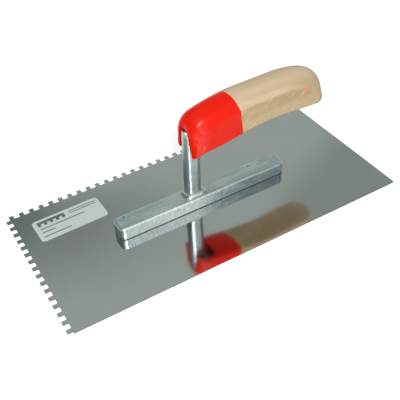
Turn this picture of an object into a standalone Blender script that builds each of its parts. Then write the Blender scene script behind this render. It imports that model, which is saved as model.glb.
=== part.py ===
"""Notched trowel: a toothed steel blade, riveted under a cast bracket whose tang carries a wooden handle.

The frame: X runs along the blade, +X away from the notched end, and +Y points to the notched long edge.
Z is up, with zero on the working face of the blade. Lengths are in metres and angles in degrees.
"""

import math

import bmesh
import bpy
from mathutils import Matrix, Vector

# Fit
SEAT_GAP = 0.0003  # air between two pieces that seat on each other
CUT_OVERRUN = 0.01  # how far a cutter runs past the face that it opens

# Blade: spring steel plate with square notches along its back and its left edge
BLADE_LENGTH = 0.280
BLADE_WIDTH = 0.130
BLADE_THICKNESS = 0.0007
TOOTH_WIDTH = 0.0036
NOTCH_WIDTH = 0.00448
NOTCH_DEPTH = 0.0040
NOTCH_ROOT_RADIUS = 0.0006
TOOTH_TIP_RADIUS = 0.0002
BACK_CORNER_CUT = 0.0034  # from the left edge to the first tooth of the back edge
LEFT_CORNER_CUT = 0.0044  # from the back edge to the first tooth of the left edge
PLAIN_CORNER_RADIUS = 0.0010

# Rivets: countersunk from the working face, driven into blind holes of the bar
RIVET_COUNT = 7
RIVET_END_MARGIN = 0.0080  # from the bar's end to the axis of the rivet next to it
RIVET_HEAD_RADIUS = 0.0031
RIVET_SHANK_RADIUS = 0.0020
RIVET_HOLD = 0.0058  # length of shank inside the bar

# Bracket: one casting of bar, post and tang
BAR_X = 0.0008
BAR_LENGTH = 0.1464
BAR_WIDTH = 0.0160
BAR_HEIGHT = 0.0106
BAR_CORNER_RADIUS = 0.0045
BAR_EDGE_ROUND = 0.0016
POST_X = -0.0070
POST_RISE = 0.0583  # from the top of the bar to the top of the tongue
POST_FOOT_DEPTH = 0.0120  # along X
POST_FOOT_WIDTH = 0.0100  # along Y
POST_HEAD_DEPTH = 0.0125
POST_HEAD_WIDTH = 0.0094
POST_CORNER_RADIUS = 0.0038
POST_FLARE = 0.0050
TANG_LENGTH = 0.070
TANG_DROP = 0.0056  # from the top of the tongue down to the tang's axis
TANG_CLIMB = 8.0
TANG_ROOT_RADIUS = 0.0044
TANG_TIP_RADIUS = 0.0030

# Handle: x is measured back from the post's axis and z up from the flat of the tail's underside
HANDLE_WIDTH = 0.0280
HANDLE_TAIL = 0.1152
HANDLE_HEIGHT = 0.0297
TONGUE_REACH = 0.0075  # how far the tongue stands into the handle above that level
TAIL_FOOT_RADIUS = 0.0012
TAIL_LEAN = 0.0066
TAIL_SHOULDER = 0.0238
TAIL_RADIUS = 0.0193
CROWN_REAR_SETBACK = 0.0302
CROWN_FRONT = 0.0250
CROWN_FALL = 0.0027
CROWN_RADIUS = 0.400
NOSE_OVERHANG = 0.0078
NOSE_SHOULDER = 0.0190
NOSE_RADIUS = 0.0160
NOSE_TIP = -0.0057
NOSE_DROOP = 0.0110
NOSE_TIP_RADIUS = 0.0020
CHIN = 0.0050
CHIN_DROP = 0.0064
CHIN_RADIUS = 0.030
PALM_FRONT = 0.0350
PALM_FRONT_DROP = 0.0008
PALM_REAR = 0.0650
PALM_REAR_RISE = 0.0023
PALM_RADIUS = 0.120
CROWN_DEPTH = 0.0090  # from the crown down to the arris of the flat side
NOSE_INSET = 0.0083
TIP_INSET = 0.0018
TAIL_INSET = 0.0080
NOSE_INNER_RADIUS = 0.0085
TAIL_INNER_RADIUS = 0.0150
FOOT_INNER_RADIUS = 0.0024
ARRIS_ROUND = 0.0011
SLOT_REAR = 0.0140  # from the post's axis to the end of the slot
SLOT_SIDE_GAP = 0.0008
SLOT_SPREAD = 0.0023  # how much further each wall of the slot stands off at its mouth
SLOT_TOP_GAP = 0.0028
SLOT_FRONT_LIP = 0.0015
SLOT_LOWER_LIP = 0.0020
LIP_START = 25.0  # how steeply a lip leaves the face around it
BORE_SPARE = 0.0020  # bore left empty past the end of the tang

# Cross pin through handle and tang
PIN_X = 0.0260
PIN_RADIUS = 0.0015
PIN_RECESS = 0.0003
PIN_COVER = 0.0062  # wood left past its blind end

# Paper label on the blade
LABEL_LENGTH = 0.0550
LABEL_WIDTH = 0.0245
LABEL_THICKNESS = 0.00012
LABEL_RADIUS = 0.0030
LABEL_FROM_LEFT = 0.0434  # its middle from the blade's left edge
LABEL_FROM_BACK = 0.0283
LABEL_TURN = 1.4

# Facets
ARC_STEPS = 6
ROUND_STEPS = 24
CROWN_STEPS = 14

BLADE_TOP = BLADE_THICKNESS
BAR_FOOT = BLADE_TOP + SEAT_GAP
BAR_TOP = BAR_FOOT + BAR_HEIGHT
TONGUE_TOP = BAR_TOP + POST_RISE
HANDLE_LEVEL = TONGUE_TOP - TONGUE_REACH


def clear_scene():
    for item in list(bpy.data.objects):
        bpy.data.objects.remove(item, do_unlink=True)


def finish(name, colour, roughness, metallic):
    """A plain Principled material."""
    made = bpy.data.materials.new(name)
    made.use_nodes = True
    shader = made.node_tree.nodes["Principled BSDF"]
    shader.inputs["Base Color"].default_value = (*colour, 1.0)
    shader.inputs["Roughness"].default_value = roughness
    shader.inputs["Metallic"].default_value = metallic
    made.diffuse_color = (*colour, 1.0)
    return made


def place(name, mesh_builder, material, parent, location=(0, 0, 0), turn=None):
    """Turns a finished bmesh into a named object under its parent."""
    bmesh.ops.recalc_face_normals(mesh_builder, faces=mesh_builder.faces)
    mesh = bpy.data.meshes.new(name)
    mesh_builder.to_mesh(mesh)
    mesh_builder.free()
    mesh.shade_smooth()
    mesh.set_sharp_from_angle(angle=math.radians(32))
    made = bpy.data.objects.new(name, mesh)
    bpy.context.scene.collection.objects.link(made)
    made.parent = parent
    made.location = location
    if turn:
        made.rotation_euler = turn
    if material:
        mesh.materials.append(material)
    return made


def cutter(name, mesh_builder, parent, location=(0, 0, 0), turn=None):
    made = place(name, mesh_builder, None, parent, location, turn)
    made.hide_render = True
    made.display_type = "WIRE"
    return made


def combine(target, tool, operation):
    step = target.modifiers.new(f"{operation.lower()} {tool.name}", "BOOLEAN")
    step.operation = operation
    step.solver = "EXACT"
    step.object = tool


def rounded(corners, steps=ARC_STEPS):
    """A closed outline through corners (a, b, radius), each turned as an arc that its sides have room for."""
    outline = []
    for index, (a, b, radius) in enumerate(corners):
        corner = Vector((a, b))
        before = Vector(corners[index - 1][:2]) - corner
        after = Vector(corners[(index + 1) % len(corners)][:2]) - corner
        half = before.angle(after) / 2
        room = 0.499 * min(before.length, after.length)
        reach = min(radius / math.tan(half), room)
        radius = reach * math.tan(half)
        start = corner + before.normalized() * reach
        end = corner + after.normalized() * reach
        bisector = (before.normalized() + after.normalized()).normalized()
        centre = corner + bisector * (radius / math.sin(half))
        first = start - centre
        sweep = first.angle_signed(end - centre)
        for step in range(steps + 1):
            outline.append(centre + Matrix.Rotation(-sweep * step / steps, 2) @ first)
    return outline


def oblong(length, width, radius):
    a, b = length / 2, width / 2
    return rounded([(-a, -b, radius), (a, -b, radius), (a, b, radius), (-a, b, radius)])


def loft(loops):
    """A closed skin through loops of equally many points, capped at both ends."""
    skin = bmesh.new()
    rings = []
    for loop in loops:
        points = [skin.verts.new(point) for point in loop]
        rings.append([skin.edges.new(pair) for pair in zip(points, points[1:] + points[:1])])
    for lower, upper in zip(rings, rings[1:]):
        bmesh.ops.bridge_loops(skin, edges=lower + upper)
    for end in (rings[0], rings[-1]):
        bmesh.ops.contextual_create(skin, geom=end)
    return skin


def prism(outline, low, high):
    return loft([[(p.x, p.y, z) for p in outline] for z in (low, high)])


def turned(profile):
    """A body turned about Z from a profile of (radius, height) that starts and ends on the axis."""
    body = bmesh.new()
    points = [body.verts.new((radius, 0, height)) for radius, height in profile]
    edges = [body.edges.new(pair) for pair in zip(points, points[1:])]
    bmesh.ops.spin(
        body,
        geom=points + edges,
        axis=(0, 0, 1),
        cent=(0, 0, 0),
        angle=math.tau,
        steps=ROUND_STEPS,
        use_merge=True,
    )
    bmesh.ops.remove_doubles(body, verts=body.verts, dist=1e-7)
    return body


def toothed(length, first, depth):
    """Corners along an edge, as (distance, inset, radius), from the cut-off corner to the plain one."""
    corners = []
    start = first
    while start < length:
        end = start + TOOTH_WIDTH
        corners.append((start, depth, NOTCH_ROOT_RADIUS))
        corners.append((start, 0, TOOTH_TIP_RADIUS))
        if end >= length:
            return corners + [(length, 0, PLAIN_CORNER_RADIUS)]
        corners.append((end, 0, TOOTH_TIP_RADIUS))
        corners.append((end, depth, NOTCH_ROOT_RADIUS))
        start = end + NOTCH_WIDTH
    return corners + [(length, depth, TOOTH_TIP_RADIUS)]


def blade_outline():
    left, back = -BLADE_LENGTH / 2, BLADE_WIDTH / 2
    back_edge = toothed(BLADE_LENGTH, BACK_CORNER_CUT, NOTCH_DEPTH)
    left_edge = toothed(BLADE_WIDTH, LEFT_CORNER_CUT, NOTCH_DEPTH)
    inner = (left + BACK_CORNER_CUT, back - LEFT_CORNER_CUT, NOTCH_ROOT_RADIUS)
    corners = [(left + along, back - inset, radius) for along, inset, radius in reversed(back_edge[1:])]
    corners.append(inner)
    corners += [(left + inset, back - along, radius) for along, inset, radius in left_edge[1:]]
    corners.append((-left, -back, PLAIN_CORNER_RADIUS))
    return rounded(corners, steps=2)


def rivet_places():
    span = BAR_LENGTH - 2 * RIVET_END_MARGIN
    pitch = span / (RIVET_COUNT - 1)
    return [BAR_X - span / 2 + index * pitch for index in range(RIVET_COUNT)]


def rivet_body(gap):
    """The rivet with its head flush on the working face, or with a gap around it the hole that it fills."""
    head, shank = RIVET_HEAD_RADIUS + gap, RIVET_SHANK_RADIUS + gap
    foot = [(0, -CUT_OVERRUN), (head, -CUT_OVERRUN), (head, 0)] if gap else [(0, 0), (head, 0)]
    tip = BAR_FOOT + RIVET_HOLD + gap
    return turned(foot + [(shank, BLADE_THICKNESS), (shank, tip), (0, tip)])


def make_blade(root):
    steel = finish("blade_steel", (0.33, 0.36, 0.345), 0.12, 1.0)
    return place("blade", prism(blade_outline(), 0, BLADE_THICKNESS), steel, root)


def make_rivets(root, blade, bracket):
    zinc = finish("rivet_steel", (0.42, 0.43, 0.42), 0.35, 1.0)
    for index, x in enumerate(rivet_places()):
        hole = cutter(f"rivet_hole_{index + 1}", rivet_body(SEAT_GAP), root, (x, 0, 0))
        combine(blade, hole, "DIFFERENCE")
        combine(bracket, hole, "DIFFERENCE")
        place(f"blade_rivet_{index + 1}", rivet_body(0), zinc, root, (x, 0, 0))


def tang_axis():
    """Where the tang leaves the post, and the turn that lays a body made along Z onto it."""
    climb = math.radians(TANG_CLIMB)
    return (POST_X, 0, TONGUE_TOP - TANG_DROP), (0, math.pi / 2 - climb, 0)


def tang_body(gap, spare):
    root, tip = TANG_ROOT_RADIUS + gap, TANG_TIP_RADIUS + gap
    end = TANG_LENGTH + spare
    return turned([(0, 0), (root, 0), (tip, end - tip / 2), (tip / 2, end), (0, end)])


def post_loops():
    """Sections of the post from inside the bar, over its flared foot and up to the arch of the tongue."""
    foot_x, foot_y = POST_FOOT_DEPTH / 2, POST_FOOT_WIDTH / 2
    head_x, head_y = POST_HEAD_DEPTH / 2, POST_HEAD_WIDTH / 2
    spread_y = max(0, min(POST_FLARE, BAR_WIDTH / 2 - BAR_EDGE_ROUND - foot_y))
    spring = TONGUE_TOP - head_y
    sections = [(foot_x + POST_FLARE, foot_y + spread_y, BAR_FOOT + BAR_HEIGHT / 2)]
    for step in range(ARC_STEPS + 1):
        turn = math.pi / 2 * step / ARC_STEPS
        ease = 1 - math.sin(turn)
        rise = POST_FLARE * (1 - math.cos(turn))
        sections.append((foot_x + POST_FLARE * ease, foot_y + spread_y * ease, BAR_TOP + rise))
    sections.append((head_x, head_y, spring))
    arch_end = math.radians(78)
    for step in range(1, ARC_STEPS + 1):
        turn = arch_end * step / ARC_STEPS
        sections.append((head_x, head_y * math.cos(turn), spring + head_y * math.sin(turn)))
    loops = []
    for a, b, z in sections:
        outline = oblong(2 * a, 2 * b, min(POST_CORNER_RADIUS, 0.9 * a, 0.9 * b))
        loops.append([(POST_X + p.x, p.y, z) for p in outline])
    return loops


def make_bracket(root):
    casting = finish("cast_metal", (0.50, 0.54, 0.55), 0.38, 1.0)
    bar = prism(oblong(BAR_LENGTH, BAR_WIDTH, BAR_CORNER_RADIUS), BAR_FOOT, BAR_TOP)
    rim = [edge for edge in bar.edges if all(abs(v.co.z - BAR_TOP) < 1e-6 for v in edge.verts)]
    bmesh.ops.bevel(
        bar, geom=rim, offset=BAR_EDGE_ROUND, segments=3, profile=0.5, affect="EDGES", material=-1
    )
    bracket = place("handle_bracket", bar, casting, root, (BAR_X, 0, 0))
    post = cutter("post_form", loft(post_loops()), root)
    combine(bracket, post, "UNION")
    tang = cutter("tang_form", tang_body(0, 0), root, *tang_axis())
    combine(bracket, tang, "UNION")
    return bracket


def underside():
    """Corners of the handle's underside, from the slot in its nose to its tail."""
    return [
        (CHIN, -CHIN_DROP, CHIN_RADIUS),
        (PALM_FRONT, -PALM_FRONT_DROP, PALM_RADIUS),
        (PALM_REAR, PALM_REAR_RISE, PALM_RADIUS),
    ]


def handle_outlines():
    """The side outlines of the handle: along its crown, and along the arris of its flat sides."""
    tail_top = (HANDLE_TAIL - TAIL_LEAN, TAIL_SHOULDER)
    crown_rear = (HANDLE_TAIL - CROWN_REAR_SETBACK, HANDLE_HEIGHT)
    crown_front = (CROWN_FRONT, HANDLE_HEIGHT - CROWN_FALL)
    crown = [
        (HANDLE_TAIL, 0, TAIL_FOOT_RADIUS),
        (*tail_top, TAIL_RADIUS),
        (*crown_rear, CROWN_RADIUS),
        (*crown_front, CROWN_RADIUS),
        (-NOSE_OVERHANG, NOSE_SHOULDER, NOSE_RADIUS),
        (NOSE_TIP, -NOSE_DROOP, NOSE_TIP_RADIUS),
    ]
    arris = [
        (HANDLE_TAIL - TAIL_INSET, 0, FOOT_INNER_RADIUS),
        (tail_top[0] - TAIL_INSET, tail_top[1] - CROWN_DEPTH, TAIL_INNER_RADIUS),
        (crown_rear[0], crown_rear[1] - CROWN_DEPTH, CROWN_RADIUS),
        (crown_front[0], crown_front[1] - CROWN_DEPTH, CROWN_RADIUS),
        (NOSE_INSET - NOSE_OVERHANG, NOSE_SHOULDER - CROWN_DEPTH, NOSE_INNER_RADIUS),
        (NOSE_TIP + TIP_INSET, -NOSE_DROOP, FOOT_INNER_RADIUS),
    ]
    return rounded(crown + underside()), rounded(arris + underside())


def crown_arc():
    """Radius of the arc that the crown makes across the handle, and the half angle that it spans."""
    half_width = HANDLE_WIDTH / 2
    radius = (half_width**2 + CROWN_DEPTH**2) / (2 * CROWN_DEPTH)
    return radius, math.asin(min(1, half_width / radius))


def handle_profile(y):
    """The side outline at a distance y from the middle plane."""
    crown, arris = handle_outlines()
    radius, span = crown_arc()
    low = radius * math.cos(span)
    share = (math.sqrt(max(0, radius**2 - y**2)) - low) / (radius - low)
    return [inner.lerp(outer, share) for inner, outer in zip(arris, crown)]


def handle_body():
    radius, span = crown_arc()
    loops = []
    for step in range(CROWN_STEPS + 1):
        y = radius * math.sin(span * (2 * step / CROWN_STEPS - 1))
        loops.append([(p.x, y, p.y) for p in handle_profile(y)])
    body = loft(loops)
    side = HANDLE_WIDTH / 2
    rim = [edge for edge in body.edges if all(abs(abs(v.co.y) - side) < 1e-6 for v in edge.verts)]
    bmesh.ops.bevel(
        body, geom=rim, offset=ARRIS_ROUND, segments=2, profile=0.5, affect="EDGES", material=-1
    )
    return body


def level_of(corners, x):
    """The height at x of straight runs between corners given from front to rear."""
    for (x0, z0), (x1, z1) in zip(corners, corners[1:]):
        if x <= x1:
            return z0 + (z1 - z0) * max(0, x - x0) / (x1 - x0)
    return corners[-1][1]


def front_of(profile, level):
    """Where a side outline of the handle is met from the front at this height."""
    met = []
    for a, b in zip(profile, profile[1:] + profile[:1]):
        if (a.y > level) != (b.y > level):
            met.append(a.x + (b.x - a.x) * (level - a.y) / (b.y - a.y))
    return min(met)


def lip(radius):
    """A round lip as (depth, width) pairs from outside the wood down to the slot's wall."""
    start = math.radians(LIP_START)
    depth = radius * (1 - math.cos(start))
    width = radius * (1 - math.sin(start))
    steps = [(-radius, width + (radius + depth) / math.tan(start))]
    for step in range(ARC_STEPS):
        turn = start + (math.pi / 2 - start) * step / (ARC_STEPS - 1)
        steps.append((radius * (1 - math.cos(turn)), radius * (1 - math.sin(turn))))
    return steps


def slot_loop(floor, widen, along):
    """One section of the slot over a floor level, with along giving x for each height."""
    half_width = POST_HEAD_WIDTH / 2 + SLOT_SIDE_GAP
    spring = TONGUE_REACH + SLOT_TOP_GAP - half_width
    edge = lip(SLOT_LOWER_LIP)
    mouth = half_width + SLOT_SPREAD + widen
    side = [(mouth + edge[0][1], floor - CUT_OVERRUN)]
    side += [(mouth + width, floor + depth) for depth, width in edge]
    for step in range(ARC_STEPS + 1):
        turn = math.pi / 2 * step / ARC_STEPS
        reach = half_width + widen
        side.append((reach * math.cos(turn), spring + reach * math.sin(turn)))
    right = [(along(z), y, z) for y, z in side]
    left = [(along(z), -y, z) for y, z in side[-2::-1]]
    return right + left


def slot_body():
    """The arched slot in the nose, its front and lower edges eased to a round lip."""
    profile = handle_profile(POST_HEAD_WIDTH / 2 + SLOT_SIDE_GAP + SLOT_FRONT_LIP)
    runs = [(NOSE_TIP, -NOSE_DROOP)] + [corner[:2] for corner in underside()]
    lowest = NOSE_TIP_RADIUS - NOSE_DROOP
    edge = lip(SLOT_FRONT_LIP)
    loops = []
    for depth, width in [(-CUT_OVERRUN, edge[0][1])] + edge:
        floor = level_of(runs, NOSE_TIP + depth)
        loops.append(slot_loop(floor, width, lambda z, d=depth: front_of(profile, max(z, lowest)) + d))
    for x in (CHIN, SLOT_REAR):
        loops.append(slot_loop(level_of(runs, x), 0, lambda z, x=x: x))
    return loft(loops)


def make_handle(root):
    beech = finish("beech", (0.62, 0.46, 0.29), 0.55, 0.0)
    handle = place("handle", handle_body(), beech, root, (POST_X, 0, HANDLE_LEVEL))
    slot = cutter("handle_slot", slot_body(), root, (POST_X, 0, HANDLE_LEVEL))
    combine(handle, slot, "DIFFERENCE")
    bore = cutter("tang_bore", tang_body(SEAT_GAP, BORE_SPARE), root, *tang_axis())
    combine(handle, bore, "DIFFERENCE")
    return handle


def make_pin(root, handle, bracket):
    """A cross pin driven from the far side, square through the tang."""
    steel = finish("pin_steel", (0.45, 0.45, 0.45), 0.4, 1.0)
    rise = TONGUE_TOP - TANG_DROP + PIN_X * math.tan(math.radians(TANG_CLIMB))
    mouth = (POST_X + PIN_X, HANDLE_WIDTH / 2 - PIN_RECESS, rise)
    inward = (math.pi / 2, 0, 0)
    length = HANDLE_WIDTH - PIN_RECESS - PIN_COVER
    wide = PIN_RADIUS + SEAT_GAP
    deep = length + SEAT_GAP
    hole = cutter(
        "pin_hole",
        turned([(0, -CUT_OVERRUN), (wide, -CUT_OVERRUN), (wide, deep), (0, deep)]),
        root,
        mouth,
        inward,
    )
    combine(handle, hole, "DIFFERENCE")
    combine(bracket, hole, "DIFFERENCE")
    pin = turned([(0, 0), (PIN_RADIUS, 0), (PIN_RADIUS, length), (0, length)])
    place("tang_pin", pin, steel, root, mouth, inward)


def make_label(root):
    paper = finish("label_paper", (0.58, 0.65, 0.63), 0.45, 0.0)
    sheet = prism(oblong(LABEL_LENGTH, LABEL_WIDTH, LABEL_RADIUS), 0, LABEL_THICKNESS)
    x = LABEL_FROM_LEFT - BLADE_LENGTH / 2
    y = BLADE_WIDTH / 2 - LABEL_FROM_BACK
    seat = (x, y, BLADE_TOP + SEAT_GAP)
    place("label", sheet, paper, root, seat, (0, 0, math.radians(LABEL_TURN)))


def main():
    clear_scene()
    root = bpy.data.objects.new("trowel", None)
    bpy.context.scene.collection.objects.link(root)
    blade = make_blade(root)
    bracket = make_bracket(root)
    make_rivets(root, blade, bracket)
    handle = make_handle(root)
    make_pin(root, handle, bracket)
    make_label(root)


main()
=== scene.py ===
import math

import bmesh
import bpy
import numpy as np
from mathutils import Matrix, Vector, noise


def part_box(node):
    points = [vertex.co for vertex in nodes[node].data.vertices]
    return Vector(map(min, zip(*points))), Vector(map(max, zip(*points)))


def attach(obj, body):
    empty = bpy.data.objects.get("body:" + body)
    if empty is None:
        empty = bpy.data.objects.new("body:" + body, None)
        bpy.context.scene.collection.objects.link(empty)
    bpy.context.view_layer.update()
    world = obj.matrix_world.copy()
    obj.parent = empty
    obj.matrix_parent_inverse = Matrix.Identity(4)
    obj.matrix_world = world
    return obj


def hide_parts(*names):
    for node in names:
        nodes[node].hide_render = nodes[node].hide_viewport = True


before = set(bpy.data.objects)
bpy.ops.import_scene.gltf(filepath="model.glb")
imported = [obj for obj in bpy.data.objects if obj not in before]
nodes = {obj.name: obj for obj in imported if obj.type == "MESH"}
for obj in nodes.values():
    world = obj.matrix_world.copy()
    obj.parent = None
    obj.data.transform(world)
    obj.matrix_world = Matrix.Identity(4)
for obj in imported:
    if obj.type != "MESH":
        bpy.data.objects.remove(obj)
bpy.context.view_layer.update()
scene = bpy.context.scene
scene.view_settings.view_transform = "Standard"
print("frame:", len(nodes), "nodes")


# shader maths: a Wire is a socket, and its operators add Math nodes
class Wire:
    def __init__(self, nodeSet, socket):
        self.nodeSet = nodeSet
        self.socket = socket

    def out(self, name):  # another output of the same node
        return Wire(self.nodeSet, self.socket.node.outputs[name])

    def maths(self, operation, *values):
        return self.nodeSet.node("Math", {"operation": operation}, dict(enumerate(values)))

    def __add__(self, other):
        return self.maths("ADD", self, other)

    def __sub__(self, other):
        return self.maths("SUBTRACT", self, other)

    def __rsub__(self, other):
        return self.maths("SUBTRACT", other, self)

    def __mul__(self, other):
        return self.maths("MULTIPLY", self, other)

    def __pow__(self, other):
        return self.maths("POWER", self, other)

    def __neg__(self):
        return 0 - self

    def __abs__(self):
        return self.maths("ABSOLUTE", self)

    __radd__ = __add__
    __rmul__ = __mul__

    def most(self, other):
        return self.maths("MAXIMUM", self, other)

    def sine(self):
        return self.maths("SINE", self)

    def wrap(self, high, low):
        return self.maths("WRAP", self, high, low)

    def ease(self, low, high):  # 0 at low, 1 at high, smooth between
        sockets = {"Value": self, "From Min": low, "From Max": high}
        return self.nodeSet.node("MapRange", {"interpolation_type": "SMOOTHSTEP"}, sockets)

    def fade(self, low, high):  # 1 at low, 0 at high, smooth between
        return 1 - self.ease(low, high)

    def parts(self):  # the three values of a vector
        split = self.nodeSet.node("SeparateXYZ", {}, {0: self})
        return split, split.out("Y"), split.out("Z")


class NodeSet:  # the nodes of one finish or of the world
    def __init__(self, tree):
        self.tree = tree

    def node(self, kind, settings=None, sockets=None, output=0):
        made = self.tree.nodes.new("ShaderNode" + kind)
        for name, value in (settings or {}).items():
            setattr(made, name, value)
        self.feed(made, sockets or {})
        return Wire(self, made.outputs[output])

    def feed(self, target, sockets):
        for name, value in sockets.items():
            if isinstance(value, Wire):
                self.tree.links.new(value.socket, target.inputs[name])
            else:
                target.inputs[name].default_value = value

    def place(self):
        return self.node("TexCoord", output="Object")

    def facing(self):  # which way the surface faces, in three values
        return self.node("NewGeometry", output="Normal").parts()

    def storedBend(self):  # what edgeBend stored on the skin
        return self.node("Attribute", {"attribute_name": skins["bendLayer"]}, output="Fac")

    def grain(self, vector, scale=1, detail=3, roughness=0.55, stretch=None):
        if stretch:
            vector = self.node("Mapping", {}, {"Vector": vector, "Scale": stretch})
        sockets = {"Vector": vector, "Scale": scale, "Detail": detail, "Roughness": roughness}
        return self.node("TexNoise", {}, sockets)

    def cells(self, vector, scale):
        return self.node("TexVoronoi", {}, {"Vector": vector, "Scale": scale})

    def blot(self, vector, spot, size, ragged, core=0.3):  # 1 inside a spot with a ragged edge
        gap = self.node("VectorMath", {"operation": "DISTANCE"}, {0: vector, 1: spot}, "Value")
        return (gap + ragged * size).fade(size * core, size)

    def tint(self, share, first, second):  # the Mix node's colour sockets go by number
        return self.node("Mix", {"data_type": "RGBA"}, {0: share, 6: first, 7: second}, 2)

    def layered(self, tones, first, layers):  # each layer is a share and the name of its tone
        colour = tones[first]
        for share, name in layers:
            colour = self.tint(share, colour, tones[name])
        return colour

    def bump(self, height, strength, distance):
        return self.node("Bump", {}, {"Height": height, "Strength": strength, "Distance": distance})


def newFinish(name):
    material = bpy.data.materials.new(name)
    material.use_nodes = True
    nodeSet = NodeSet(material.node_tree)
    return material, nodeSet, material.node_tree.nodes["Principled BSDF"]


# camera
cameraView = {
    "azimuth": -29.023,  # degrees, 0 looks along +Y
    "elevation": 41.704,
    "roll": -2.826,
    "target": (-0.0011, 0.00124, 0.0),
    "distance": 0.51387,
    "lens": 58.573,
    "sensor": 36,  # mm
    "clipStart": 0.01,
}


def wayTo(settings):  # from the object towards a camera or a lamp
    turn = math.radians(settings["azimuth"])
    lift = math.radians(settings["elevation"])
    level = math.cos(lift)
    return Vector((math.sin(turn) * level, -math.cos(turn) * level, math.sin(lift)))


def makeCamera():
    back = wayTo(cameraView)
    right = Vector((0, 0, 1)).cross(back).normalized()
    up = back.cross(right)
    turned = Matrix.Rotation(math.radians(cameraView["roll"]), 3, back)
    axes = Matrix((turned @ right, turned @ up, back)).transposed()
    data = bpy.data.cameras.new("view")
    data.sensor_width = cameraView["sensor"]
    data.lens = cameraView["lens"]
    data.clip_start = cameraView["clipStart"]
    camera = bpy.data.objects.new("view", data)
    place = Vector(cameraView["target"]) + back * cameraView["distance"]
    camera.matrix_world = Matrix.Translation(place) @ axes.to_4x4()
    scene.collection.objects.link(camera)
    scene.camera = camera


makeCamera()
print("camera set")

# studio: the walls are only what the camera and the metal see
studio = {
    "flash": {"azimuth": -19, "elevation": 41, "distance": 0.75, "size": 0.15, "watts": 3.35},
    "softbox": {"azimuth": -120, "elevation": 66, "distance": 1.1, "size": 0.8, "watts": 2.3},
    "lampAim": (0, 0, 0.04),
    "ambient": (0.44, 0.44, 0.44, 1),
    "white": (1, 1, 1, 1),
    "left": (0.105, 0.12, 0.115, 1),
    "nearRight": (0.098, 0.122, 0.122, 1),
    "farWall": (0.44, 0.495, 0.465, 1),
    "farRight": (0.32, 0.36, 0.34, 1),
    "farCorner": (0.185, 0.235, 0.22, 1),
    "card": (0.27, 0.30, 0.285, 1),
    # where each tone starts and ends, in x, y or z of the direction that is looked in
    "nearLeftX": (-0.6, -0.35),
    "nearRightX": (0.385, 0.415),
    "farLeftX": (-0.25, 0.02),
    "farRightX": (0.4, 0.5),
    "farRightY": (0.57, 0.61),
    "cornerX": (0.13, 0.185),
    "cornerY": (0.71, 0.745),
    "cardMiddle": (0.12, 0.67),
    "cardX": (0.04, 0.3),
    "cardZ": (0.0, 0.095),
    "cardFootZ": (0.625, 0.652),
    "nearToFarY": (-0.4, 0.15),
    "horizonZ": (0.08, 0.24),
}
floorPaper = {
    "size": 4,
    "drop": 0.0002,  # clear of the blade's face
    "colour": (0.90, 0.90, 0.895, 1),
    "dark": (0, 0, 0, 1),
    "lift": (0.42, 0.42, 0.42, 1),  # keeps the paper white where it is seen
    "rough": 0.8,
    "specular": 0.2,
    "speck": {"scale": 900, "detail": 2},
}


def seenRays(n):  # 1 for what the camera, metal and glass see
    path = n.node("LightPath", output="Is Camera Ray")
    return path.most(path.out("Is Glossy Ray")).most(path.out("Is Transmission Ray"))


def makeWorld():
    world = bpy.data.worlds.new("studio")
    world.use_nodes = True
    scene.world = world
    n = NodeSet(world.node_tree)
    x, y, z = n.node("TexCoord", output="Generated").parts()
    nearLayers = [
        (x.ease(*studio["nearRightX"]), "nearRight"),
        (x.fade(*studio["nearLeftX"]), "left"),
    ]
    middleX, middleZ = studio["cardMiddle"]
    card = abs(x - middleX).fade(*studio["cardX"]) * abs(z - middleZ).fade(*studio["cardZ"])
    farLayers = [
        (card * z.ease(*studio["cardFootZ"]), "card"),
        (x.fade(*studio["cornerX"]) * y.ease(*studio["cornerY"]), "farCorner"),
        (x.ease(*studio["farRightX"]) * y.fade(*studio["farRightY"]), "farRight"),
        (x.fade(*studio["farLeftX"]), "left"),
    ]
    near = n.layered(studio, "white", nearLayers)
    far = n.layered(studio, "farWall", farLayers)
    walls = n.tint(y.ease(*studio["nearToFarY"]), near, far)
    walls = n.tint(z.ease(*studio["horizonZ"]), studio["white"], walls)  # pale at the horizon
    colour = n.tint(seenRays(n), studio["ambient"], walls)
    n.feed(world.node_tree.nodes["Background"], {"Strength": 1.0, "Color": colour})


def addLamp(name, mirrored=True):
    settings = studio[name]
    back = wayTo(settings)
    data = bpy.data.lights.new(name, "AREA")
    data.shape = "DISK"
    data.size = settings["size"]
    data.energy = settings["watts"]
    lamp = bpy.data.objects.new(name, data)
    lamp.location = back * settings["distance"] + Vector(studio["lampAim"])
    lamp.rotation_euler = back.to_track_quat("Z", "Y").to_euler()
    lamp.visible_camera = False
    lamp.visible_glossy = mirrored
    scene.collection.objects.link(lamp)


def newPiece(name, bm, material):
    mesh = bpy.data.meshes.new(name)
    bm.to_mesh(mesh)
    bm.free()
    mesh.materials.append(material)
    piece = bpy.data.objects.new(name, mesh)
    scene.collection.objects.link(piece)
    return piece


def makeFloor():
    material, n, shader = newFinish("floor_paper")
    speck = n.grain(n.place(), **floorPaper["speck"])
    lift = n.tint(seenRays(n), floorPaper["dark"], floorPaper["lift"])
    rough = floorPaper["rough"] + 0.1 * speck
    n.feed(shader, {"Base Color": floorPaper["colour"], "Roughness": rough})
    n.feed(shader, {"Specular IOR Level": floorPaper["specular"]})
    n.feed(shader, {"Emission Color": lift, "Emission Strength": 1.0})
    bm = bmesh.new()
    bmesh.ops.create_grid(bm, x_segments=1, y_segments=1, size=floorPaper["size"])
    bmesh.ops.translate(bm, verts=bm.verts, vec=(0, 0, -floorPaper["drop"]))
    floor = newPiece("floor", bm, material)


makeWorld()
addLamp("flash")
addLamp("softbox", mirrored=False)
makeFloor()
print("studio lit")

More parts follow.
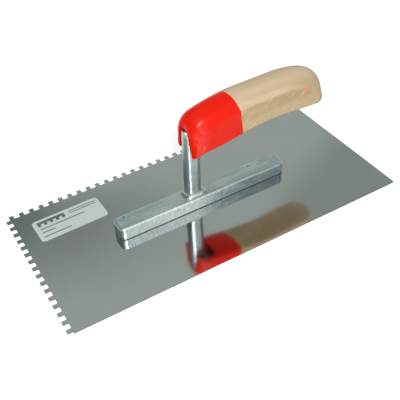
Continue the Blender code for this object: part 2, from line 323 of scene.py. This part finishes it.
# pieces grow from merged copies of the CAD nodes
skins = {
    "mergeGap": 1e-6,
    "flatAngle": 0.002,  # radians, faces that turn less become one
    "squareAngles": (1.2, 1.9),  # radians, edges that turn so far are rounded
    "smoothing": 0.5,
    "bendLayer": "edgeBend",
    "bendReach": 0.0009,
    "shortest": 1e-12,  # an edge's length squared is taken to be at least this
}


def mergedCopy(nodeName):
    bm = bmesh.new()
    bm.from_mesh(nodes[nodeName].data)
    bmesh.ops.remove_doubles(bm, verts=bm.verts, dist=skins["mergeGap"])
    return bm


def flatCopy(nodeName):  # with each flat face whole again
    bm = mergedCopy(nodeName)
    bmesh.ops.dissolve_limit(bm, angle_limit=skins["flatAngle"], verts=bm.verts, edges=bm.edges)
    return bm


def squareEdges(bm):
    low, high = skins["squareAngles"]
    return [e for e in bm.edges if len(e.link_faces) == 2 and low < e.calc_face_angle() < high]


def roundEdges(bm, edges, radius):
    bmesh.ops.bevel(bm, geom=edges, offset=radius, segments=2, profile=0.5, affect="EDGES", material=-1)


def softened(piece, settings):  # an even skin over the facets, its edges eased
    skin = piece.modifiers.new("skin", "REMESH")
    skin.mode = "VOXEL"
    skin.voxel_size = settings["voxel"]
    skin.use_smooth_shade = True
    ease = piece.modifiers.new("ease", "SMOOTH")
    ease.factor = skins["smoothing"]
    ease.iterations = settings["easing"]
    bpy.context.view_layer.update()
    seen = piece.evaluated_get(bpy.context.evaluated_depsgraph_get())
    made = bpy.data.meshes.new_from_object(seen)
    made.name = piece.name
    piece.modifiers.clear()
    material = piece.data.materials[0]
    piece.data = made
    made.materials.clear()
    made.materials.append(material)
    made.shade_smooth()


def pointArrays(mesh):  # place and normal of every point
    place, normal = (np.zeros((len(mesh.vertices), 3), np.float32) for _ in range(2))
    mesh.vertices.foreach_get("co", place.ravel())
    mesh.vertex_normals.foreach_get("vector", normal.ravel())
    return place, normal


def movePoints(mesh, place):
    mesh.vertices.foreach_set("co", place.astype(np.float32).ravel())
    mesh.update()


def waved(piece, waves):  # the slight waves of a cast skin
    place, normal = pointArrays(piece.data)
    push = np.zeros((len(place), 1), np.float32)
    for close, height in waves:
        push[:, 0] += [noise.noise(p * close) * height for p in map(Vector, place)]
    movePoints(piece.data, place + normal * push)


def reshaped(piece, moves, swell=0.0):  # swell goes along the normals, a move along its axis
    start, normal = pointArrays(piece.data)
    along = dict(zip("xyz", start.T))
    place = start + normal * swell
    for axis, distance, *ramps in moves:
        share = 1
        for name, none, whole in ramps:  # from none of the move to the whole of it
            share = share * np.clip((along[name] - none) / (whole - none), 0, 1)
        place[:, "xyz".index(axis)] += distance * share
    movePoints(piece.data, place)


def edgeBend(piece):  # how sharply the skin turns outward at each point
    mesh = piece.data
    place, normal = pointArrays(mesh)
    count = len(place)
    ends = np.zeros(len(mesh.edges) * 2, np.int32)
    mesh.edges.foreach_get("vertices", ends)
    a, b = ends.reshape(-1, 2).T
    along = place[b] - place[a]
    turn = ((normal[b] - normal[a]) * along).sum(1) / np.maximum((along**2).sum(1), skins["shortest"])
    total = np.bincount(a, turn, count) + np.bincount(b, turn, count)
    share = np.bincount(a, minlength=count) + np.bincount(b, minlength=count)
    storedBend = np.clip(total / share * skins["bendReach"], -1, 1)
    layer = mesh.attributes.new(skins["bendLayer"], "FLOAT", "POINT")
    layer.data.foreach_set("value", storedBend.astype(np.float32))


def settle(piece, nodeName):
    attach(piece, "root")
    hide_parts(nodeName)
    print(piece.name, "stands for", nodeName, "with", len(piece.data.polygons), "faces")


# blade
plate = {
    "edgeRound": 0.00009,
    "frontPush": 0.0008,
    "frontDepth": 0.0001,  # points so near to the front edge are pushed
    "steel": (0.63, 0.64, 0.635, 1),
    "shade": (0.60, 0.61, 0.605, 1),
    # the edge faces' tone, painted dark as shade
    "shadedSide": (0.09, 0.095, 0.092, 1),
    "rough": 0.075,
    "scuffRough": 0.06,
    "shearedRough": 0.25,
    # patterns, with scale or stretch in waves per metre
    "rolled": {"stretch": (40, 900, 900), "detail": 4},
    "scratch": {"stretch": (260, 5200, 5200)},
    "cloud": {"scale": 22, "roughness": 0.5},
    "rub": {"scale": 60, "detail": 4, "roughness": 0.6},
    "relief": (0.04, 0.00002),  # strength and depth of the bump
}


def rolledSteel():
    material, n, shader = newFinish("rolled_steel")
    place = n.place()
    rolled = n.grain(place, **plate["rolled"])
    scratch = n.grain(place, **plate["scratch"])
    cloud = n.grain(place, **plate["cloud"])
    rub = n.grain(place, **plate["rub"]).ease(0.55, 0.75)
    side = abs(n.facing()[2]).fade(0.3, 0.8)
    # the vertical edge faces are painted dark, as shade
    colour = n.layered(plate, "steel", [(cloud.ease(0.3, 0.7), "shade"), (side, "shadedSide")])
    scuff = rolled * 0.5 + rub * 0.35
    rough = plate["rough"] + plate["scuffRough"] * scuff + plate["shearedRough"] * side
    n.feed(shader, {"Base Color": colour, "Metallic": 1.0, "Roughness": rough})
    n.feed(shader, {"Normal": n.bump(scratch * 0.6 + rolled * 0.4, *plate["relief"])})
    return material


def makePlate():
    bm = flatCopy("blade")
    front = min(v.co.y for v in bm.verts) + plate["frontDepth"]
    outer = [v for v in bm.verts if v.co.y < front]
    bmesh.ops.translate(bm, verts=outer, vec=(0, -plate["frontPush"], 0))
    roundEdges(bm, squareEdges(bm), plate["edgeRound"])
    settle(newPiece("steel_plate", bm, rolledSteel()), "blade")


makePlate()

# bracket
casting = {
    "voxel": 0.00042,
    "easing": 3,
    "waves": [(210, 0.00004), (640, 0.00002)],  # how close they are, and how high
    "moves": [  # axis, distance, and ramps that keep it in one place
        ("x", -0.0012, ("x", -0.05, -0.068)),  # left end of the bar
        ("x", -0.0008, ("x", 0.002, -0.004), ("z", 0.0125, 0.0165), ("z", 0.08, 0.025)),  # foot of the post
        ("z", 0.0020, ("x", 0, -0.003), ("z", 0.06, 0.068)),  # tip of the post
    ],
    "zinc": (0.66, 0.755, 0.765, 1),
    # the base tone, and the tone of the painted shade on the post's left faces
    "dull": (0.50, 0.585, 0.60, 1),
    "bright": (0.86, 0.92, 0.915, 1),
    # the dark of the crackle, and the tone of painted shade
    "grimeAndShade": (0.28, 0.33, 0.33, 1),
    "linished": (0.65, 0.76, 0.76, 1),
    # the tone of the painted shade on the bar's front
    "shade": (0.15, 0.235, 0.25, 1),
    "nearBlack": (0.04, 0.045, 0.045, 1),
    "rough": 0.26,
    "mottle": {"scale": 700, "detail": 5, "roughness": 0.65},
    "cloud": {"stretch": (45, 210, 210), "detail": 4, "roughness": 0.6},
    "drag": {"stretch": (1300, 1300, 380), "roughness": 0.6},
    "crackle": {"stretch": (800, 800, 300), "detail": 2, "roughness": 0.5},
    "flakes": 520,  # cells per metre
    "relief": (0.35, 0.00025),
    "postZ": (0.012, 0.016),  # the bar ends and the post starts
    "contactShadeZ": (0.0011, 0.002),  # painted shade along the blade, at the bar's foot
    # where a pool of light is painted on the bar
    "litPatchX": ((-0.045, -0.02), (-0.01, 0.0)),
    "paintedShadeX": (-0.005, 0.02),
    "tangShadeX": (-0.0005, 0.0015),  # painted shade on the tang, within the handle
    "tangShadeZ": (0.056, 0.058),
    "pits": [  # place on the bar's top, and size
        ((0.0719, 0.0041, 0.0113), 0.0011),
        ((0.0588, 0.0045, 0.0113), 0.0008),
        ((0.0460, 0.0043, 0.0113), 0.0012),
        ((-0.0650, 0.0047, 0.0113), 0.0014),
    ],
}


def castSkin():
    material, n, shader = newFinish("cast_skin")
    place = n.place()
    x, _, z = place.parts()
    turnX, turnY, turnUp = n.facing()
    mottle = n.grain(place, **casting["mottle"])
    cloud = n.grain(place, **casting["cloud"])
    drag = n.grain(place, **casting["drag"])
    crackle = n.grain(place, **casting["crackle"])
    flakes = n.cells(place, casting["flakes"])
    bend = n.storedBend()
    worn = bend.ease(0.12, 0.55)
    shadedHollowsAndBack = (-bend).ease(0.05, 0.3).most(turnY.ease(0.12, 0.4) * 0.8)  # painted shade in concave places and on faces turned to the back
    onPost = z.ease(*casting["postZ"])
    ground = (-turnY).ease(0.7, 0.95) * (1 - onPost)  # the bar's front is linished
    litFrom, litTo = casting["litPatchX"]
    litPatch = x.ease(*litFrom) * x.fade(*litTo)
    tangShade = x.ease(*casting["tangShadeX"]) * z.ease(*casting["tangShadeZ"])
    pits = sum(n.blot(place, spot, size, mottle - 0.5) for spot, size in casting["pits"])
    layers = [
        (mottle.ease(0.35, 0.68), "zinc"),
        (cloud.ease(0.46, 0.64) * 0.6, "bright"),
        # the post is darker all over, and its left-facing faces darker still as painted shade
        (onPost * (0.45 + 0.4 * (-turnX).ease(0.2, 0.8)), "dull"),
        (onPost * 0.3, "grimeAndShade"),
        (ground * (0.35 + 0.65 * drag.ease(0.36, 0.58)), "linished"),
        # a painted pool of light on the bar's front and top, left of the post
        ((ground * 0.7 + turnUp.ease(0.8, 0.95) * 0.5) * litPatch, "bright"),
        (ground * crackle.ease(0.48, 0.6) * 0.36, "grimeAndShade"),
        # painted shade on the bar's front right of the post, under the handle
        (ground * x.ease(*casting["paintedShadeX"]) * (0.28 + 0.42 * cloud.ease(0.36, 0.62)), "shade"),
        (worn * 0.3, "bright"),
        # painted shade in concave places, on back faces and along the blade
        ((shadedHollowsAndBack * 0.75).most(z.fade(*casting["contactShadeZ"]) * 0.6), "grimeAndShade"),
        # the tang is painted near black, as shade
        (tangShade, "nearBlack"),
        (pits * 0.75, "nearBlack"),
    ]
    colour = n.layered(casting, "dull", layers)
    rough = casting["rough"] + 0.16 * mottle + 0.10 * cloud - 0.08 * worn - 0.16 * ground
    cast = (mottle * 0.6 + flakes * 0.3 + cloud * 0.5) * (1 - 0.7 * ground)
    height = cast + ground * (drag * 0.3 + crackle * 0.3) - pits * 0.6
    n.feed(shader, {"Base Color": colour, "Metallic": 1 - 0.4 * ground, "Roughness": rough})
    n.feed(shader, {"Normal": n.bump(height, *casting["relief"])})
    return material


def makeCasting():
    piece = newPiece("cast_bracket", mergedCopy("handle_bracket"), castSkin())
    softened(piece, casting)
    waved(piece, casting["waves"])
    reshaped(piece, casting["moves"])
    edgeBend(piece)
    settle(piece, "handle_bracket")


makeCasting()

# handle
grip = {
    "voxel": 0.00045,
    "easing": 2,
    "swell": 0.0003,  # easing drew the skin in, so it is brought out again
    "moves": [  # axis, distance, and ramps that keep it in one place
        ("x", 0.0010, ("x", 0.06, 0.115), ("x", 0.06, 0.115)),  # tail
        ("x", -0.0001, ("x", 0.02, -0.01), ("x", 0.02, -0.01)),  # nose
        ("y", -0.0013, ("x", 0.014, 0.008), ("y", 0, -0.004), ("y", -0.0125, -0.008)),  # slot's near wall
        ("z", 0.0006, ("x", 0.065, 0.035), ("z", 0.066, 0.08)),  # crown
        ("z", -0.0004, ("x", 0.004, 0.014), ("z", 0.068, 0.062)),  # lower flank
        ("z", 0.0023, ("x", -0.0109, -0.007), ("x", 0.0085, -0.007), ("z", 0.062, 0.054)),  # chin
    ],
    "dipEdge": 0.02714,  # the dip line, along X at the level below
    "dipLevel": 0.062,
    "dipTurn": 0.125,  # its slope across Y
    "dipLean": 0.104,  # and its slope up Z
    "dipWander": 0.0009,
    "dipSag": 0.003,  # on the underside
    "dipSagCurve": 5500,
    "dipBlur": 0.00025,
    "lacquer": (0.78, 0.012, 0.001, 1),
    "lacquerDeep": (0.70, 0.009, 0.001, 1),
    # the tone of painted glints on the lacquer
    "lacquerGlint": (0.93, 0.15, 0.08, 1),
    "wood": (0.585, 0.45, 0.285, 1),
    "woodDark": (0.46, 0.335, 0.19, 1),
    # the tone of the painted light on the top
    "litTop": (0.75, 0.62, 0.46, 1),
    "bleached": (0.53, 0.465, 0.35, 1),
    "ray": (0.80, 0.66, 0.47, 1),
    "fleck": (0.36, 0.225, 0.115, 1),
    "smear": (0.78, 0.30, 0.17, 1),
    "woodRough": 0.52,
    "lacquerRough": 0.19,
    "coatRough": 0.19,
    "specular": 0.03,
    "wander": {"scale": 90},
    "slow": {"stretch": (14, 90, 90), "detail": 4},
    "fibre": {"stretch": (90, 1500, 1500), "detail": 4, "roughness": 0.6},
    "flecks": {"stretch": (330, 2600, 2600), "detail": 2},
    "blotch": {"stretch": (500, 500, 320)},
    "ragged": {"scale": 900, "detail": 4, "roughness": 0.7},
    "rayBreaks": {"scale": 160, "detail": 2},
    "raySlope": (0.69, 0.72),  # along X and down Z
    "rayWander": 0.006,
    "rayPitch": 800,  # radians per metre
    "runs": {"scale": 260, "detail": 2},
    "pimples": 600,  # cells per metre
    "pimpleGroups": {"scale": 300, "detail": 2},
    "pimpleX": ((-0.011, -0.0085), (-0.003, 0.001)),
    "pimpleY": (-0.008, -0.003),
    "poolX": (-0.006, 0.003),
    "poolY": (-0.005, 0.003),
    "arrisLightX": (0.06, 0.09),
    "bleachedX": (0.085, 0.11),
    "relief": (0.35, 0.0001),
    "smearRagged": 1.3,
    "smearShare": 0.5,
    "smears": [((0.0845, -0.014, 0.0793), 0.0042), ((0.0973, -0.0135, 0.0708), 0.0026)],  # place, size
}


def dipLine(n, place, turnUp):  # 1 where the handle is dipped
    x, y, z = place.parts()
    wander = n.grain(place, **grip["wander"])
    edge = x + y * grip["dipTurn"] + (z - grip["dipLevel"]) * grip["dipLean"]
    edge = edge + (wander - 0.5) * grip["dipWander"]
    edge = edge - (-turnUp).ease(0.4, 0.9) * (1 - y * y * grip["dipSagCurve"]) * grip["dipSag"]
    return edge.fade(grip["dipEdge"] - grip["dipBlur"], grip["dipEdge"] + grip["dipBlur"])


def beechAndLacquer():
    material, n, shader = newFinish("beech_and_lacquer")
    place = n.place()
    x, y, z = place.parts()
    turnX, _, turnUp = n.facing()
    dipped = dipLine(n, place, turnUp)
    bare = 1 - dipped
    # wood
    slow = n.grain(place, **grip["slow"])
    fibre = n.grain(place, **grip["fibre"])
    fleck = n.grain(place, **grip["flecks"]).ease(0.62, 0.74)
    blotch = n.grain(place, **grip["blotch"]).ease(0.5, 0.68)
    ragged = (n.grain(place, **grip["ragged"]) - 0.5) * grip["smearRagged"]
    flank = turnUp.fade(0.2, 0.45)
    slopeX, slopeZ = grip["raySlope"]
    rays = ((x * slopeX - z * slopeZ + (slow - 0.5) * grip["rayWander"]) * grip["rayPitch"]).sine()
    rays = rays.ease(0.93, 1.0) * n.grain(place, **grip["rayBreaks"]).ease(0.42, 0.62) * flank
    arrisLight = turnUp.ease(0.28, 0.4) * turnUp.fade(0.55, 0.85) * x.fade(*grip["arrisLightX"])  # painted light along the arris
    woodLayers = [
        (slow.ease(0.35, 0.68) * 0.7 + fibre * 0.25, "woodDark"),
        # the top and the arris painted paler, as light from above
        ((turnUp.ease(0.45, 0.85) * 0.25).most(arrisLight * 0.42), "litTop"),
        (x.ease(*grip["bleachedX"]) * 0.5, "bleached"),
        (rays * 0.7, "ray"),
        (fleck * (0.3 + 0.55 * flank), "fleck"),
        (blotch * flank * 0.35, "woodDark"),
    ]
    for spot, size in grip["smears"]:
        woodLayers.append((n.blot(place, spot, size, ragged) * grip["smearShare"], "smear"))
    # lacquer
    runs = n.grain(place, **grip["runs"])
    pimpleFrom, pimpleTo = grip["pimpleX"]
    pimple = n.cells(place, grip["pimples"]).fade(0.1, 0.5)
    pimple = pimple * n.grain(place, **grip["pimpleGroups"]).ease(0.48, 0.6)
    pimple = pimple * x.ease(*pimpleFrom) * x.fade(*pimpleTo) * y.fade(*grip["pimpleY"])
    pool = x.fade(*grip["poolX"]) * y.fade(*grip["poolY"])  # the lacquer is thickest there
    arris = n.storedBend().ease(0.25, 0.7)
    lacquerLayers = [
        (runs.ease(0.4, 0.7) * 0.35, "lacquerDeep"),
        # pimples and the arris painted paler, as glints of light
        ((pimple * 0.8).most(arris * 0.15), "lacquerGlint"),
    ]
    wood = n.layered(grip, "wood", woodLayers)
    colour = n.tint(dipped, wood, n.layered(grip, "lacquer", lacquerLayers))
    rough = dipped * (grip["lacquerRough"] + 0.06 * runs) + bare * (grip["woodRough"] + 0.14 * fibre)
    height = dipped * (runs * 0.10 + pimple * 0.35 + 1.0) + bare * (fibre * 0.35 - fleck * 0.25)
    coat = dipped * (0.26 + 0.44 * pool) * (1 - 0.8 * (-turnX).ease(0.45, 0.8))  # thin on the nose
    n.feed(shader, {"Base Color": colour, "Roughness": rough, "Coat Weight": coat})
    n.feed(shader, {"Coat Roughness": grip["coatRough"], "Specular IOR Level": grip["specular"]})
    n.feed(shader, {"Normal": n.bump(height, *grip["relief"])})
    return material


def makeGrip():
    piece = newPiece("wooden_grip", mergedCopy("handle"), beechAndLacquer())
    softened(piece, grip)
    reshaped(piece, grip["moves"], grip["swell"])
    edgeBend(piece)
    settle(piece, "handle")


makeGrip()

# sticker
sticker = {
    "seat": 0.00002,  # clear of the blade
    "rimLevel": 0.00001,  # edges higher than this above the seat are rounded
    "edgeRound": 0.00005,
    "paper": (0.53, 0.61, 0.59, 1),
    "stain": (0.50, 0.57, 0.55, 1),
    "ink": (0.045, 0.05, 0.05, 1),
    "centre": (-0.0966, 0.0367, 0),
    "turn": (0, 0, math.radians(1.4)),
    "rules": [  # middle, half length and half height of each plain rule
        (-0.0055, 0.0013, 0.0182, 0.0005),
        (-0.0186, -0.0028, 0.0052, 0.0005),
        (-0.0130, -0.0076, 0.0110, 0.0005),
        (0.0135, 0.0088, 0.0115, 0.0004),
        (0.0135, 0.0066, 0.0115, 0.0004),
    ],
    "comb": (-0.0128, 0.0072, 0.0112, 0.0026),  # the same for the comb
    "combPitches": 4.5,
    "inkBlur": 0.00012,
    "toothBlur": 0.00006,
    "rough": 0.38,
    "specular": 0.4,
    "fibre": {"scale": 2400, "detail": 4, "roughness": 0.6},
    "cloud": {"scale": 90},
    "relief": (0.12, 0.00004),
}


def stickerPaper():
    material, n, shader = newFinish("sticker_paper")
    place = n.place()
    seat = {"Vector": place, "Location": sticker["centre"], "Rotation": sticker["turn"]}
    x, y, _ = n.node("Mapping", {"vector_type": "TEXTURE"}, seat).parts()
    blur = sticker["inkBlur"]

    def block(middleX, middleY, halfX, halfY):  # 1 inside a printed block
        across = abs(x - middleX).fade(halfX - blur, halfX + blur)
        return across * abs(y - middleY).fade(halfY - blur, halfY + blur)

    middleX, middleY, halfX, halfY = sticker["comb"]
    pitch = halfX * 2 / sticker["combPitches"]
    tooth = (x - middleX + halfX).wrap(pitch, 0.0)
    tooth = tooth.fade(pitch * 0.5 - sticker["toothBlur"], pitch * 0.5 + sticker["toothBlur"])
    spine = block(middleX, middleY + halfY * 0.5, halfX, halfY * 0.5)
    ink = spine.most(block(middleX, middleY - halfY * 0.45, halfX, halfY * 0.55) * tooth)
    for rule in sticker["rules"]:
        ink = ink.most(block(*rule))
    fibre = n.grain(place, **sticker["fibre"])
    cloud = n.grain(place, **sticker["cloud"])
    layers = [(ink * (0.82 + 0.15 * fibre), "ink"), (cloud.ease(0.4, 0.7) * 0.12, "stain")]
    colour = n.layered(sticker, "paper", layers)
    rough = sticker["rough"] + 0.12 * fibre - 0.1 * ink
    n.feed(shader, {"Base Color": colour, "Roughness": rough, "Specular IOR Level": sticker["specular"]})
    n.feed(shader, {"Normal": n.bump(fibre + ink * 0.5, *sticker["relief"])})
    return material


def makeSticker():
    bm = flatCopy("label")
    low = min(v.co.z for v in bm.verts)
    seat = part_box("blade")[1].z + sticker["seat"]
    bmesh.ops.translate(bm, verts=bm.verts, vec=(0, 0, seat - low))
    rim = [e for e in squareEdges(bm) if all(v.co.z > seat + sticker["rimLevel"] for v in e.verts)]
    roundEdges(bm, rim, sticker["edgeRound"])
    settle(newPiece("paper_sticker", bm, stickerPaper()), "label")


makeSticker()

# rivets and pin stay as the CAD has them
fixings = {
    "rivet": (0.46, 0.48, 0.47, 1),
    "rivetDark": (0.34, 0.36, 0.35, 1),
    "rivetRough": 0.24,
    "rivetPitch": 0.02173,
    "rivetMiddle": 0.0008,
    "turning": 9000,  # radians per metre of radius
    "turningWander": {"scale": 400, "detail": 2},
    "scratch": {"stretch": (120, 4200, 4200)},
    "rivetRelief": (0.15, 0.00003),
    "pin": (0.45, 0.46, 0.46, 1),
    "pinRough": 0.3,
    "pinDull": {"scale": 1500, "detail": 4, "roughness": 0.6},
    "pinRelief": (0.2, 0.00004),
}


def groundSteel():
    material, n, shader = newFinish("ground_steel")
    place = n.place()
    x, y, _ = place.parts()
    half = fixings["rivetPitch"] / 2
    local = (x - fixings["rivetMiddle"]).wrap(half, -half)  # from the middle of the nearest rivet
    radius = (local * local + y * y) ** 0.5
    wander = n.grain(place, **fixings["turningWander"])
    turning = (radius * fixings["turning"] + wander * 4).sine() * 0.5 + 0.5
    scratch = n.grain(place, **fixings["scratch"])
    colour = n.layered(fixings, "rivet", [(scratch.ease(0.35, 0.7), "rivetDark")])
    rough = fixings["rivetRough"] + 0.14 * scratch
    n.feed(shader, {"Base Color": colour, "Metallic": 1.0, "Roughness": rough})
    n.feed(shader, {"Normal": n.bump(turning * 0.4 + scratch * 0.6, *fixings["rivetRelief"])})
    return material


def drawnWire():
    material, n, shader = newFinish("drawn_wire")
    dull = n.grain(n.place(), **fixings["pinDull"])
    colour = n.layered(fixings, "pin", [(dull.ease(0.4, 0.7), "rivetDark")])
    rough = fixings["pinRough"] + 0.2 * dull
    n.feed(shader, {"Base Color": colour, "Metallic": 1.0, "Roughness": rough})
    n.feed(shader, {"Normal": n.bump(dull, *fixings["pinRelief"])})
    return material


def dressFixings():
    ground = groundSteel()
    for name, node in nodes.items():
        if name.startswith("blade_rivet"):
            node.material_slots[0].material = ground
    nodes["tang_pin"].material_slots[0].material = drawnWire()
    print("rivets and pin dressed")


dressFixings()
